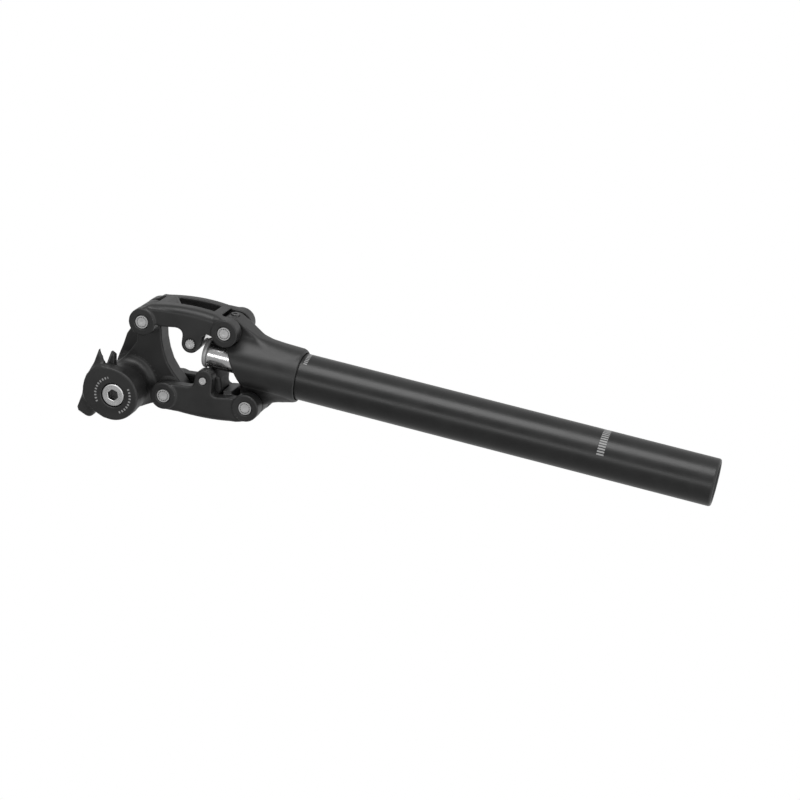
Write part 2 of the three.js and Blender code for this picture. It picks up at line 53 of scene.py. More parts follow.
# Lengths are millimetres until a mesh is made; X points forward, Y left and Z up the post.
MM = 0.001
COLLECTION = bpy.context.scene.collection

# ---------------------------------------------------------------- dimensions of the part

FRONT_LOWER, REAR_LOWER = (18.8, 288.6), (-21.9, 269.6)
FRONT_UPPER, REAR_UPPER = (13.55, 338.45), (-27.15, 319.45)
ROLLER_AXIS, BUMPER_AXIS, BOLT_AXIS = (7.4, 308.0), (-12.6, 297.4), (-29.3, 345.0)
LOWER_PIVOTS, UPPER_PIVOTS = (FRONT_LOWER, REAR_LOWER), (FRONT_UPPER, REAR_UPPER)
PIVOTS = {"front_lower": FRONT_LOWER, "front_upper": FRONT_UPPER,
          "rear_lower": REAR_LOWER, "rear_upper": REAR_UPPER}
# Half widths: the links over their bosses and plates, then the ears over their bearing faces and plates.
LINK_HALF, PLATE_HALF, EAR_HALF, EAR_PLATE = 16.4, 15.4, 7.8, 6.5
LINK_INNER = EAR_HALF + 0.3
# The room round a pivot starts just outside the ears, so that the links' bosses can turn in it.
ROOM_START = 7.9
BOSS_RADIUS, THRUST_RADIUS = 8.0, 6.0
AXLE_RADIUS, AXLE_HOLE, BUSH_HOLE, BOLT_HOLE = 3.9, 4.2, 5.3, 4.3
ROLLER_PIN_RADIUS, BUMPER_PIN_RADIUS, PIN_INSET = 2.95, 2.15, 0.8
BUMPER_PIN_HOLE = 2.45
CLAMP_TILT = math.radians(13)
RAIL_RADIUS, RAIL_Y, RAIL_HEIGHT = 3.6, 22.0, 15.0
CRADLE_END, DISC_START, DISC_END, HEAD_HALF = 21.7, 22.3, 30.0, 13.2
SPRING_LOW, SPRING_HIGH, SPRING_RADIUS, WIRE_RADIUS = 29.9, 239.2, 8.8, 1.6
SPRING_COILS, END_TURNS, SPRING_SPLIT = 18.0, 0.8, 0.4
SLIDE_TRAVEL, PRELOAD_TRAVEL = 13.943, 7.5
BOLT_PITCH, PLUG_PITCH, GRUB_PITCH = 1.25, 1.5, 0.8
BODY = {n: body for body, nodes in frame["record"]["behaviour"]["bodies"].items() for n in nodes}

# ---------------------------------------------------------------- solids as distance fields


class Block:
    """A block of sample points, in millimetres, that a solid is worked out on."""

    def __init__(self, x, y, z, step=0.4):
        self.step = step
        self.low = np.array([x[0], y[0], z[0]])
        ax, ay, az = (np.arange(a, b, step, dtype=np.float32) for a, b in (x, y, z))
        self.x, self.y, self.z = ax[:, None, None], ay[None, :, None], az[None, None, :]
        self.shape = (len(ax), len(ay), len(az))


def both(a, b, r=0.0):
    """Where two solids overlap, with the edge between them rounded to radius r."""
    return np.hypot(np.maximum(a + r, 0), np.maximum(b + r, 0)) + np.minimum(np.maximum(a, b), -r)


def either(a, b, r=0.0):
    """Two solids joined, with a fillet of radius r between them."""
    return -both(-a, -b, r)


def less(a, b, r=0.0):
    """Solid a with b cut out of it."""
    return both(a, -b, r)


def disc(k, centre, radius):
    """A long cylinder about an axis along Y."""
    return np.hypot(k.x - centre[0], k.z - centre[1]) - radius


def discs(k, centres, radius):
    """Long cylinders of one radius about two such axes."""
    return np.minimum(*(disc(k, centre, radius) for centre in centres))


def slab(k, flat, low, high, r=0.0):
    """A solid of constant outline along Y, from low to high, with its rims rounded."""
    return both(flat, np.abs(k.y - (low + high) / 2) - (high - low) / 2, r)


def sides(k, flat, low, high, r=0.0):
    """The same on both sides of the middle plane."""
    return both(flat, np.abs(np.abs(k.y) - (low + high) / 2) - (high - low) / 2, r)


def ramp(value, start, end):
    """0 up to start, 1 from end on, and straight between them."""
    return np.clip((value - start) / (end - start), 0, 1)


def thread(along, turn, pitch, depth):
    """How deep a triangular screw thread lies under its crests."""
    return depth * np.abs(((along / pitch - turn / (2 * math.pi)) % 1) * 2 - 1)


def arc(centre, radius, start, end, steps=10):
    """Points on an arc of a circle, from one angle in degrees to another."""
    turn = np.radians(np.linspace(start, end, steps))
    return [(centre[0] + radius * math.cos(a), centre[1] + radius * math.sin(a)) for a in turn]


def bow(start, control, end, steps=10):
    """Points on a curve that leaves start towards a control point and reaches end from it."""
    t = np.linspace(0, 1, steps)[:, None]
    a, b, c = (np.array(p, float) for p in (start, control, end))
    return [tuple(p) for p in (1 - t) ** 2 * a + 2 * t * (1 - t) * b + t * t * c]


def outline(u, v, points):
    """Signed distance to a closed outline, where u and v are the two coordinates of its plane."""
    nearest, inside = np.float32(1e9), np.zeros(np.broadcast(u, v).shape, bool)
    for (au, av), (bu, bv) in zip(points, points[1:] + points[:1]):
        eu, ev = bu - au, bv - av
        length = eu * eu + ev * ev
        if length < 1e-9:
            continue
        t = np.clip(((u - au) * eu + (v - av) * ev) / length, 0, 1)
        nearest = np.minimum(nearest, (u - au - t * eu) ** 2 + (v - av - t * ev) ** 2)
        if av != bv:
            inside ^= ((v < av) != (v < bv)) & (u < eu * (v - av) / ev + au)
    return np.where(inside, -1, 1).astype(np.float32) * np.sqrt(nearest)


def hexagon(u, v, across):
    """Signed distance to a hexagon of a given width across its flats."""
    best = -1e9
    for a in (0, math.pi / 3, 2 * math.pi / 3):
        best = np.maximum(best, np.abs(u * math.cos(a) + v * math.sin(a)))
    return best - across / 2


# ---------------------------------------------------------------- meshes


def piece(name, points, faces, material, body, nodes, centre=(0, 0, 0), tilt=0.0, sharp=38):
    """A mesh piece from points in millimetres about its own centre, in place on its body."""
    points = np.asarray(points, float) * MM
    mesh = bpy.data.meshes.new(name)
    mesh.from_pydata(points.tolist(), [], faces if isinstance(faces, list) else faces.tolist())
    mesh.materials.append(material)
    mesh.shade_smooth()
    if sharp:
        mesh.set_sharp_from_angle(angle=math.radians(sharp))
    made = bpy.data.objects.new(name, mesh)
    COLLECTION.objects.link(made)
    made.matrix_world = Matrix.Translation(Vector(centre) * MM) @ Matrix.Rotation(tilt, 4, "Y")
    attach(made, body)
    if nodes:
        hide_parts(*nodes)
    return made


def skin(name, k, field, material, body, nodes, centre=(0, 0, 0), tilt=0.0):
    """The surface of a distance field as a piece."""
    grid = vdb.FloatGrid()
    grid.copyFromArray(np.array(np.broadcast_to(field, k.shape), dtype=np.float32, order="C"))
    points, quads = grid.convertToQuads(0.0)
    points = k.low + points * k.step
    a, b, c = (points[quads[:, i]] for i in (0, 1, 2))
    if np.einsum("ij,ij->", a, np.cross(b, c)) < 0:
        quads = quads[:, ::-1]
    return piece(name, points, quads, material, body, nodes, centre, tilt, sharp=None)


def softened(profile, steps=4):
    """A profile of (radius, height) corners, where a third number rounds that corner."""
    points, n = [], len(profile)
    for i, corner in enumerate(profile):
        here = np.array(corner[:2], float)
        if len(corner) < 3:
            points.append(tuple(here))
            continue
        before, after = (np.array(profile[j % n][:2], float) for j in (i - 1, i + 1))
        ends = [here + (p - here) * min(corner[2] / np.linalg.norm(p - here), 0.5) for p in (before, after)]
        points += bow(ends[0], here, ends[1], steps)
    return points


def turned(name, profile, material, body, nodes, axis="Z", centre=(0, 0, 0), tilt=0.0,
           segments=96, sharp=38, shaped=None):
    """A turned piece about Z or Y; its profile goes up the outer side, and closes on itself."""
    ring = softened(profile)
    points, rings = [], []
    for radius, height in ring:
        if radius < 1e-6:
            rings.append([len(points)] * segments)
            points.append((0, 0, height))
            continue
        rings.append(list(range(len(points), len(points) + segments)))
        for a in np.arange(segments) * 2 * math.pi / segments:
            rise = shaped(radius, height, a) if shaped else height
            points.append((radius * math.cos(a), radius * math.sin(a), rise))
    faces = []
    hollow = ring[0][0] > 1e-6 or ring[-1][0] > 1e-6
    loop = rings + ([rings[0]] if hollow else [])
    for low, high in zip(loop, loop[1:]):
        for i in range(segments):
            j = (i + 1) % segments
            corners = list(dict.fromkeys([low[i], low[j], high[j], high[i]]))
            if len(corners) > 2:
                faces.append(corners)
    if axis == "Y":
        points = [(x, z, -y) for x, y, z in points]
    return piece(name, points, faces, material, body, nodes, centre, tilt, sharp)


def at_axis(centre):
    """The point of an axis along Y that lies on the middle plane."""
    return (centre[0], 0, centre[1])


def sleeve(inner, outer, low, high, inner_round, outer_round):
    """The profile of a plain ring with rounded corners."""
    return [(inner, low, inner_round), (outer, low, outer_round),
            (outer, high, outer_round), (inner, high, inner_round)]


# ---------------------------------------------------------------- materials


def feed(tree, socket, value):
    """Link a node's output to a socket, or set the socket to a constant."""
    if isinstance(value, bpy.types.NodeSocket):
        tree.links.new(value, socket)
    else:
        socket.default_value = value


def node(tree, kind, **inputs):
    """A shader node with its inputs, by name with _ for a space."""
    made = tree.nodes.new("ShaderNode" + kind)
    for key, value in inputs.items():
        feed(tree, made.inputs[key.replace("_", " ")], value)
    return made


def calc(tree, operation, *values):
    """The result of a sum on up to three values."""
    made = tree.nodes.new("ShaderNodeMath")
    made.operation = operation
    for socket, value in zip(made.inputs, values):
        feed(tree, socket, value)
    return made.outputs[0]


def times(tree, product, *factors):
    for factor in factors:
        product = calc(tree, "MULTIPLY", product, factor)
    return product


def spread(tree, value, low, high, low_in=0.0, high_in=1.0):
    """The range low_in to high_in spread over low to high, and held there outside it."""
    return node(tree, "MapRange", Value=value, From_Min=low_in, From_Max=high_in,
                To_Min=low, To_Max=high).outputs["Result"]


# By what a Mix node mixes: its factor, first value and second value, and its output.
MIX_SOCKETS = {"FLOAT": (0, 2, 3, 0), "RGBA": (0, 6, 7, 2)}


def mixed(tree, factor, a, b, kind="RGBA"):
    made = tree.nodes.new("ShaderNodeMix")
    made.data_type = kind
    *inputs, output = MIX_SOCKETS[kind]
    for index, value in zip(inputs, (factor, a, b)):
        feed(tree, made.inputs[index], value)
    return made.outputs[output]


def places(tree, place):
    """The three coordinates of a place."""
    return node(tree, "SeparateXYZ", Vector=place).outputs


def about_y(tree, place):
    """The distance from a piece's own Y axis, in metres, and the angle round it."""
    x, _, z = places(tree, place)
    radius = calc(tree, "SQRT", calc(tree, "ADD", times(tree, x, x), times(tree, z, z)))
    return radius, calc(tree, "ARCTAN2", z, x)


def grey(value, warm=0.0):
    return (value * (1 + warm), value, value * (1 - warm), 1)


WORN_GREY, MARK_GREY, SHADE_GREY = grey(0.22), grey(0.3), grey(0.03)


def finish(name, dark, light, roughness, metallic=0.0, mottle=90, grain=1400, depth=0.00002,
           edge=0.0, rings=0.0, marks=None, shade=None, **shader):
    """A worked surface: mottled colour, uneven roughness, fine grain, worn edges, turning rings.

    Marks are light and shade is painted shade, dark where a groove or socket lies in shadow; both are
    functions of the tree and of the place on the piece.
    """
    material = bpy.data.materials.new(name)
    material.use_nodes = True
    tree = material.node_tree
    surface = tree.nodes["Principled BSDF"]
    place = node(tree, "TexCoord").outputs["Object"]
    clouds = node(tree, "TexNoise", Vector=place, Scale=mottle, Detail=4.0, Roughness=0.6).outputs["Fac"]
    specks = node(tree, "TexNoise", Vector=place, Scale=grain, Detail=2.0, Roughness=0.5).outputs["Fac"]
    colour = mixed(tree, spread(tree, clouds, 0, 1, 0.3, 0.7), dark, light)
    rough = calc(tree, "ADD", spread(tree, clouds, roughness[0], roughness[1], 0.3, 0.7),
                 spread(tree, specks, -0.04, 0.04, 0.3, 0.7))
    if edge:
        convex = node(tree, "NewGeometry").outputs["Pointiness"]
        worn = times(tree, spread(tree, convex, 0, 1, 0.57, 0.65),
                     spread(tree, specks, 0.2, 1, 0.35, 0.6), edge)
        colour = mixed(tree, worn, colour, WORN_GREY)
    # Painted shade: the colour is darkened where a groove or socket would lie in shadow.
    if shade:
        colour = mixed(tree, shade(tree, place), colour, SHADE_GREY)
    if marks:
        shown = times(tree, marks(tree, place), spread(tree, specks, 0.65, 1, 0.3, 0.45))
        colour = mixed(tree, shown, colour, MARK_GREY)
        rough = calc(tree, "MAXIMUM", rough, times(tree, shown, 0.6))
    height = specks
    if rings:
        radius, _ = about_y(tree, place)
        wave = calc(tree, "SINE", calc(tree, "MULTIPLY_ADD", clouds, 0.6, times(tree, radius, rings)))
        height = calc(tree, "MULTIPLY_ADD", wave, 0.5, specks)
        rough = calc(tree, "MULTIPLY_ADD", wave, 0.03, rough)
    bump = node(tree, "Bump", Strength=0.6, Distance=depth, Height=height)
    shader.update(Base_Color=colour, Roughness=rough, Normal=bump.outputs[0], Metallic=metallic)
    for key, value in shader.items():
        feed(tree, surface.inputs[key.replace("_", " ")], value)
    return material


def between(tree, value, low, high, blur):
    """1 where value is between low and high, fading over blur."""
    rising = spread(tree, value, 0, 1, low - blur, low + blur)
    falling = spread(tree, value, 1, 0, high - blur, high + blur)
    return times(tree, rising, falling)


def insertion_marks(tree, place):
    """A row of short bars round the front of the tube, and a short row of ticks near the collar."""
    x, y, z = places(tree, place)
    turn = calc(tree, "ARCTAN2", y, x)
    bar_pitch, reach = math.radians(6.7), math.radians(76)
    # 100 keeps the count above nought all the way round, and the half puts a bar at the very front.
    along = calc(tree, "FRACT", calc(tree, "ADD", calc(tree, "DIVIDE", turn, bar_pitch), 100.5))
    bars = times(tree, between(tree, along, 0.22, 0.78, 0.04), between(tree, turn, -reach, reach, 0.01),
                 between(tree, z, 0.06275, 0.06685, 0.0001))
    row = times(tree, between(tree, turn, -0.72, 0.1, 0.01), between(tree, z, 0.2395, 0.2416, 0.0001))
    return calc(tree, "MAXIMUM", bars, times(tree, dashes(tree, turn, 62, 0.5), row))


def dashes(tree, turn, count, share):
    """Evenly spaced dashes round a circle."""
    along = calc(tree, "FRACT", calc(tree, "MULTIPLY_ADD", turn, count / (2 * math.pi), 50.0))
    return between(tree, along, 0.5 - share / 2, 0.5 + share / 2, 0.05)


def disc_ticks(tree, place):
    """Two arcs of generic dashes round the clamp bolt."""
    radius, turn = about_y(tree, place)
    arcs = calc(tree, "MAXIMUM", between(tree, turn, 0.61, 2.39, 0.02),
                between(tree, turn, -2.44, -0.72, 0.02))
    return times(tree, dashes(tree, turn, 36, 0.45), arcs, between(tree, radius, 0.0100, 0.0113, 0.0001))


def pressed_ring_shade(tree, place):
    """Painted shade in the broken ring pressed into the end of a pivot pin, laid over the ring's groove."""
    radius, turn = about_y(tree, place)
    return times(tree, between(tree, radius, 0.00262, 0.00306, 0.00004), dashes(tree, turn, 14, 0.72), 0.85)


def socket_shade(tree, place):
    """Painted shade inside the clamp bolt's socket."""
    radius, _ = about_y(tree, place)
    depth = places(tree, place)[1]
    return times(tree, between(tree, depth, -0.0293, -0.0255, 0.0002), 0.9,
                 between(tree, radius, -1.0, 0.0040, 0.0001))


BLACK = dict(mottle=70, grain=2600, depth=0.00001)
RUBBER = dict(mottle=200, grain=900)
M = {
    "tube_black": finish("tube_black", grey(0.008), grey(0.013), (0.30, 0.36),
                         marks=insertion_marks, **BLACK),
    "forged_black": finish("forged_black", grey(0.010), grey(0.015), (0.36, 0.46), edge=0.25, **BLACK),
    "clamp_black": finish("clamp_black", grey(0.011), grey(0.016), (0.40, 0.5), edge=0.3, **BLACK),
    "disc_black": finish("disc_black", grey(0.011), grey(0.016), (0.40, 0.5), edge=0.3,
                         marks=disc_ticks, **BLACK),
    "plug_black": finish("plug_black", grey(0.010), grey(0.02), (0.35, 0.5), edge=0.3, rings=9000, **BLACK),
    "polished_steel": finish("polished_steel", grey(0.9), grey(0.95), (0.2, 0.27), 1.0, depth=0.000001),
    "cap_steel": finish("cap_steel", grey(0.46), grey(0.54), (0.42, 0.5), 0.3, depth=0.000003),
    "pin_steel": finish("pin_steel", grey(0.50), grey(0.58), (0.40, 0.46), 0.7, mottle=300, rings=16000,
                        depth=0.0000015, shade=pressed_ring_shade),
    "bolt_silver": finish("bolt_silver", grey(0.74), grey(0.82), (0.26, 0.32), 0.9, mottle=300, rings=14000,
                          depth=0.000002, shade=socket_shade),
    "grub_steel": finish("grub_steel", grey(0.10), grey(0.16), (0.45, 0.55), 0.8, depth=0.000004),
    "zinc_steel": finish("zinc_steel", grey(0.45, 0.02), grey(0.6, 0.02), (0.3, 0.45), 1.0, depth=0.00001),
    "spring_steel": finish("spring_steel", grey(0.2), grey(0.32), (0.35, 0.5), 0.9, depth=0.00002),
    "bumper_rubber": finish("bumper_rubber", grey(0.010), grey(0.018), (0.5, 0.62), depth=0.00001, **RUBBER),
    "seal_rubber": finish("seal_rubber", grey(0.012), grey(0.02), (0.5, 0.65), depth=0.00003, **RUBBER),
    "bush_polymer": finish("bush_polymer", grey(0.11), grey(0.16), (0.4, 0.55), mottle=120, grain=1500),
    "elastomer": finish("elastomer", (0.38, 0.28, 0.05, 1), (0.5, 0.38, 0.08, 1), (0.45, 0.6),
                        mottle=60, grain=700, depth=0.00005, Subsurface_Weight=0.15),
}

# ---------------------------------------------------------------- post and yoke


def post_pieces():
    turned("post_tube_turned", [
        (11.4, 1.2), (11.9, 0.25, 0.4), (12.7, 0.0, 0.6), (13.6, 0.9, 0.8), (13.6, 261.2, 0.3),
        (13.2, 261.7), (11.4, 261.7),
    ], M["tube_black"], "post", ["post_tube"], segments=160)


def front_ear_outline():
    return ([(0, 246), (14.2, 246), (15.1, 257.5), (16.1, 264.5), (17.7, 270.3), (20.6, 275.8)]
            + arc(FRONT_LOWER, 7.7, -35, 160, 24) + [(0, 282)])


def rear_ear_outline():
    return ([(0, 248), (-14.9, 246.5), (-17.3, 251.5), (-18.9, 257)]
            + arc(REAR_LOWER, 7.7, -85, -285, 24) + [(0, 277)])


def yoke_piece():
    """A barrel with a slanting mouth, grown into an ear for each lower pivot."""
    k = Block((-31, 28.6), (-16.6, 16.8), (242.2, 298.2))
    r = np.hypot(k.x, k.y)
    mouth_slope = 0.55
    mouth = (k.z - 282 - mouth_slope * k.x) / math.hypot(1, mouth_slope)
    walls = both(both(r - 15.2, 243.5 - k.z, 0.9), mouth, 0.8)
    beside = ROOM_START - np.abs(k.y)
    walls = less(walls, both(discs(k, LOWER_PIVOTS, 8.6), beside), 0.5)
    # The ears' edges soften as they run down into the barrel.
    front_round = 0.8 + 3.6 * ramp(k.z, 279, 265)
    rear_round = 0.8 + 4.4 * ramp(k.z, 264, 254)
    ears = np.minimum(slab(k, outline(k.x, k.z, front_ear_outline()), -EAR_PLATE, EAR_PLATE, front_round),
                      slab(k, outline(k.x, k.z, rear_ear_outline()), -EAR_PLATE, EAR_PLATE, rear_round))
    body = either(walls, ears, 4.0)
    body = either(body, slab(k, discs(k, LOWER_PIVOTS, THRUST_RADIUS), -EAR_HALF, EAR_HALF, 0.4), 0.3)
    body = less(body, both(discs(k, LOWER_PIVOTS, 8.35), beside))
    # Three steps of the bore: for the tube, for the guide bush and its seal, and for the piston to pass.
    tube_bore, bush_bore = both(r - 13.9, k.z - 262), both(r - 11.0, k.z - 274.5)
    body = less(body, np.minimum(tube_bore, np.minimum(bush_bore, r - 10.4)), 0.35)
    body = less(body, discs(k, LOWER_PIVOTS, AXLE_HOLE), 0.3)
    grub_hole = both(np.hypot(k.y, k.z - FRONT_LOWER[1]) - 2.7, FRONT_LOWER[0] - k.x)
    body = less(body, grub_hole, 0.3)
    skin("yoke_forging", k, body, M["forged_black"], "post", ["yoke"])


# ---------------------------------------------------------------- links


def bosses(k, body, centres, fillet):
    """Round bosses on both side plates, with stepped bores for axle and bush."""
    y = np.abs(k.y)
    for centre in centres:
        body = either(body, sides(k, disc(k, centre, BOSS_RADIUS), LINK_INNER, LINK_HALF, 0.6), fillet)
    for centre in centres:
        body = less(body, both(disc(k, centre, 8.3), y - LINK_INNER))
        body = less(body, both(disc(k, centre, BUSH_HOLE), y - 15.1))
        body = less(body, disc(k, centre, AXLE_HOLE), 0.25)
    return body


def front_link_outline():
    x1, z1 = FRONT_UPPER
    front = arc(FRONT_LOWER, 7.5, -60, 5)
    return (front + bow(front[-1], (30.4, 311), (24.0, 336.5), 16) + arc(FRONT_UPPER, 7.5, 15, 200, 16)
            + [(x1, z1 - 6.5), (13.4, 326.5), (14.9, 318.5)]
            + bow((14.9, 318.5), (15.2, 313.6), (11.0, 313.4))
            + arc(ROLLER_AXIS, 5.4, 85, 275, 16) + [(13.4, 301.4), (15.6, 299.8), (14.5, 294)])


def front_link_piece():
    """Two plates joined by a bridge, with a pocket in the bridge's front and the roller's lugs."""
    k = Block((-2, 30.2), (-17.2, 17.4), (279.4, 347.6))
    y = np.abs(k.y)
    flat = outline(k.x, k.z, front_link_outline())
    # The long front edges are rounded far more than the rest.
    along = ramp(k.x, 19, 24) * ramp(k.z, 291, 297) * ramp(k.z, 340, 334)
    body = both(flat, y - PLATE_HALF, 1.0 + 3.6 * along)
    bridge = outline(k.x, k.z, [(20.6, 297.4), (40, 286.7), (40, 341.2), (19.6, 331.8), (20.6, 314)])
    gap = both(y - LINK_INNER, -bridge, 1.2)
    body = less(body, gap, 0.7)
    body = bosses(k, body, (FRONT_LOWER, FRONT_UPPER), 0.7)
    window = [(-6.4, 299.4), (6.4, 299.4), (6.4, 326.0), (-6.4, 319.4)]
    pocket = both(outline(k.y, k.z, window) + 1.2, 22.6 - k.x, 1.2) - 1.2
    shallow = [(-6.4, 321.2), (6.4, 327.7), (-6.4, 328.0)]
    pocket = np.minimum(pocket, both(outline(k.y, k.z, shallow), 26.1 - k.x, 0.4))
    body = less(body, pocket, 0.7)
    body = less(body, disc(k, ROLLER_AXIS, 3.25), 0.3)
    skin("front_link_forging", k, body, M["forged_black"], "front_link", ["front_link"])


def rear_link_outline():
    lower = arc(REAR_LOWER, 7.5, 60, -120, 16)
    upper = arc(REAR_UPPER, 7.5, 190, 15, 16)
    return (lower + [(-29.6, 267.6), (-32.2, 274.5)]
            + bow((-32.2, 274.5), (-36.4, 292), (-35.1, 316.5), 14) + upper
            + [(-18.3, 308)] + bow((-18.3, 308), (-18.0, 302.6), (-15.2, 302.6))
            + arc((-11.2, 297.0), 5.4, 90, -80, 16) + [(-17.6, 291.2)]
            + bow((-17.6, 291.2), (-20.2, 291.0), (-20.1, 287.6)) + [(-18.6, 280.5)])


def rear_link_piece():
    """Two plates joined by a web, with lugs for the bumper."""
    k = Block((-38.4, -4.6), (-17.2, 17.4), (260.4, 328.4))
    y = np.abs(k.y)
    flat = outline(k.x, k.z, rear_link_outline())
    along = ramp(k.x, -27, -31) * ramp(k.z, 272, 278) * ramp(k.z, 316, 310)
    body = both(flat, y - PLATE_HALF, 0.9 + 2.2 * along)
    web = outline(k.x, k.z, [(-24.2, 283.6), (-17.6, 286.6), (-16.6, 281.2), (-22.4, 279.4), (-31.0, 278.6),
                             (-34.2, 290), (-34.8, 303), (-31.0, 304.4), (-28.6, 302.0)])
    plates = less(body, y - LINK_INNER, 0.7)
    body = either(plates, both(web, y - 9.0, 0.5), 1.2)
    body = bosses(k, body, (REAR_LOWER, REAR_UPPER), 0.7)
    body = less(body, disc(k, BUMPER_AXIS, BUMPER_PIN_HOLE), 0.25)
    skin("rear_link_forging", k, body, M["forged_black"], "rear_link", ["rear_link"])


def bumper_piece():
    k = Block((-26, -7.2), (-8, 8.2), (286, 304))
    shape = ([(-18.2, 287.6), (-11.2, 289.6)] + arc((-13.9, 297.0), 5.3, -30, 120, 16)
             + [(-24.6, 300.4), (-24.4, 289.6)])
    body = slab(k, outline(k.x, k.z, shape), -7.4, 7.4, 1.6)
    body = less(body, disc(k, BUMPER_AXIS, BUMPER_PIN_HOLE), 0.3)
    skin("bumper_block", k, body, M["bumper_rubber"], "rear_link", ["bumper"])


# ---------------------------------------------------------------- head


def head_outline():
    return (arc(FRONT_UPPER, 7.1, -75, 125, 20) + [(1.1, 343.8), (-2.5, 343.6), (-8.5, 346.9)]
            + arc(BOLT_AXIS, 13.1, 35, 215, 24) + arc(REAR_UPPER, 7.1, 175, 240, 10)
            + [(-27.5, 310.2), (-24, 310.2), (-22.4, 311.5), (-19.1, 314.8), (-15.2, 319), (-10.3, 323.1),
               (-4.3, 326.2), (2.3, 328.5), (8, 329.6), (12, 330.6)])


SPINE = [(16, 340), (13, 345.4), (2.5, 350.4), (-0.5, 351.9), (-7.7, 353.3), (-12.2, 354.5), (-19, 354.5),
         (-19, 340), (0, 335)]
HEAD_POCKET = [(-12.4, 362), (-11.4, 344.6), (-3, 338.6), (2.5, 338.6), (4.4, 362)]


def head_piece():
    """A web from the upper pivots to the barrel of the clamp bolt, pocketed on both sides of a spine."""
    k = Block((-44.4, 22.4), (-14.4, 14.6), (308.6, 360.4))
    web = slab(k, outline(k.x, k.z, head_outline()), -6, 6, 0.8)
    spine = slab(k, outline(k.x, k.z, SPINE), -1.5, 1.5, 0.6)
    barrel = slab(k, disc(k, BOLT_AXIS, 13.6), -HEAD_HALF, HEAD_HALF, 0.5)
    pocket = sides(k, outline(k.x, k.z, HEAD_POCKET), 1.5, 4.8, 0.7)
    body = either(less(web, pocket, 0.5), spine, 0.7)
    body = either(body, barrel, 5.0)
    body = either(body, slab(k, discs(k, UPPER_PIVOTS, 7.7), -EAR_PLATE, EAR_PLATE, 0.6), 1.6)
    # The fillets above have run into the top of the pockets, so these are opened again.
    body = less(body, both(pocket, 346.0 - k.z), 0.5)
    body = either(body, slab(k, discs(k, UPPER_PIVOTS, THRUST_RADIUS), -EAR_HALF, EAR_HALF, 0.4), 0.3)
    body = both(body, np.abs(k.y) - HEAD_HALF)
    body = less(body, both(discs(k, UPPER_PIVOTS, 8.5), ROOM_START - np.abs(k.y)))
    body = less(body, discs(k, UPPER_PIVOTS, AXLE_HOLE), 0.3)
    body = less(body, disc(k, BOLT_AXIS, BOLT_HOLE), 0.3)
    skin("head_forging", k, body, M["forged_black"], "head", ["head"])


# ---------------------------------------------------------------- saddle clamp, about its own bolt


def jaw_start(half, top):
    """The rounded rear end that both jaws share, up to a given height."""
    return bow((-16.7, 7.4), (-half, 7.8), (-half, 11.6), 6) + [(0.8 - half, top - 1.4), (2.6 - half, top)]


WING = jaw_start(21.2, 18.5) + [(20.3, 18.5), (17.6, 14.5), (11.9, 11.4), (0, 0)]
LIP = jaw_start(20.4, 13.2) + [(19.4, 13.2), (19.9, 12.6), (19.2, 9.8), (12.3, 7.3)]
CROWN = [(-15, 0), (15, 0), (15, 6), (13.4, 12.6), (10.9, 15.8), (8, 17.6), (5.5, 18.6), (2.8, 19.15),
         (-0.8, 19.15), (-3.6, 18.7), (-7.2, 17.4), (-10.2, 15.2), (-12.8, 11.8), (-14.6, 6.4)]


def rail_room(k, sign):
    """The round groove that a saddle rail lies in, at right angles to the bolt."""
    return np.hypot(k.y - sign * RAIL_Y, k.z - RAIL_HEIGHT) - RAIL_RADIUS


def cradle_piece(side, sign):
    """The lower jaw: a disc with teeth against the head's barrel, and a lip under the rail."""
    low, high = sorted((sign * 13.5, sign * CRADLE_END))
    k = Block((-21.2, 21.4), (low - 0.8, high + 1.0), (-15.4, 19.6), 0.33)
    y = sign * k.y
    turn = np.arctan2(k.z, k.x)
    tooth_depth, tooth_count, toothed_to = 0.35, 60, 14.6
    teeth = tooth_depth * (1 - np.abs(np.cos(tooth_count / 2 * turn))) * (y < toothed_to)
    body = both(disc(k, (0, 0), 14.6) + teeth, np.abs(y - 17.6) - 4.1, 0.35)
    jaw = both(outline(k.x, k.z, LIP), np.abs(y - 19.45) - 2.25, 0.5)
    body = either(body, jaw, 1.0)
    body = both(body, y - CRADLE_END)
    body = less(body, rail_room(k, sign), 0.3)
    body = less(body, disc(k, (0, 0), BOLT_HOLE), 0.3)
    skin(side + "_inner_cradle_forging", k, body, M["clamp_black"], "cradle", [side + "_inner_cradle"],
         at_axis(BOLT_AXIS), CLAMP_TILT)


def clamp_piece(side, sign):
    """The upper jaw: a disc at the outside with a wing over the rail."""
    low, high = sorted((sign * DISC_START, sign * DISC_END))
    k = Block((-21.2, 21.4), (low - 0.8, high + 1.0), (-16.0, 19.6), 0.33)
    y = sign * k.y
    flat = either(disc(k, (0, 0), 15.2), outline(k.x, k.z, CROWN), 1.0)
    body = both(flat, y - DISC_END, 1.2)
    jaw = both(outline(k.x, k.z, WING), y - 27.2, 2.0)
    body = both(either(body, jaw, 3.0), np.minimum(flat, outline(k.x, k.z, WING)) - 0.4)
    body = both(body, DISC_START - y, 0.3)
    body = less(body, rail_room(k, sign), 0.3)
    body = less(body, disc(k, (0, 0), BOLT_HOLE))
    # A round seat for the bolt's head on the right, and a six-sided one for the nut on the left.
    if sign < 0:
        body = less(body, both(disc(k, (0, 0), 7.2), 23.4 - y), 0.4)
    else:
        body = less(body, both(hexagon(k.x, k.z, 13.6), 24.1 - y), 0.3)
    skin(side + "_outer_clamp_forging", k, body, M["disc_black"], side + "_clamp", [side + "_outer_clamp"],
         at_axis(BOLT_AXIS), CLAMP_TILT)


